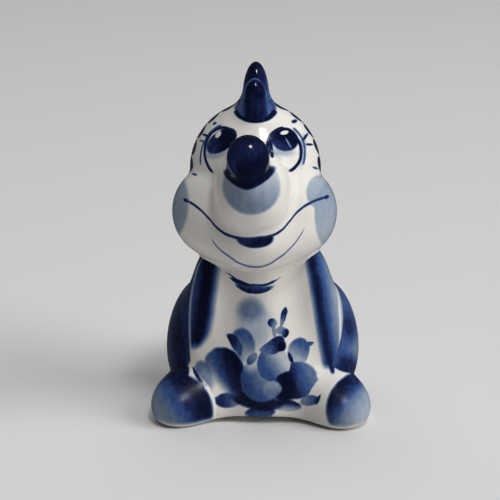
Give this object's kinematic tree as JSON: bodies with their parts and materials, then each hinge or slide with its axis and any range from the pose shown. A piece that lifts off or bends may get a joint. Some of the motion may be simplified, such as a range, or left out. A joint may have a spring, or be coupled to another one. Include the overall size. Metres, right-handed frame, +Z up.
{
  "type": "porcelain animal figurine",
  "caption": "Hollow glazed porcelain figurine of a sitting baby dragon with a raised snout and a crest of spines, white with cobalt blue brush painting; a free-standing ornament.",
  "frame": {"origin": "on the body's axis, on the flat base that stands on the table", "axes": "+Z up, -Y is the figure's front, +X is the figure's left side"},
  "size_m": [0.0582, 0.0656, 0.0922],
  "materials": {
    "white_glaze": "gloss glaze",
    "cobalt_glaze": "cobalt underglaze under gloss glaze"
  },
  "bodies": {
    "root": {"body_shell": "white_glaze", "head_shell": "white_glaze", "nose": "cobalt_glaze", "left_arm": "cobalt_glaze", "right_arm": "cobalt_glaze", "left_haunch": "cobalt_glaze", "right_haunch": "cobalt_glaze", "left_foot": "cobalt_glaze", "right_foot": "cobalt_glaze", "tail": "cobalt_glaze", "forehead_spine": "cobalt_glaze", "crown_spine": "cobalt_glaze", "occiput_spine": "cobalt_glaze", "nape_spine": "cobalt_glaze", "shoulder_spine": "cobalt_glaze", "rump_spine": "cobalt_glaze"}
  },
  "joints": []
}
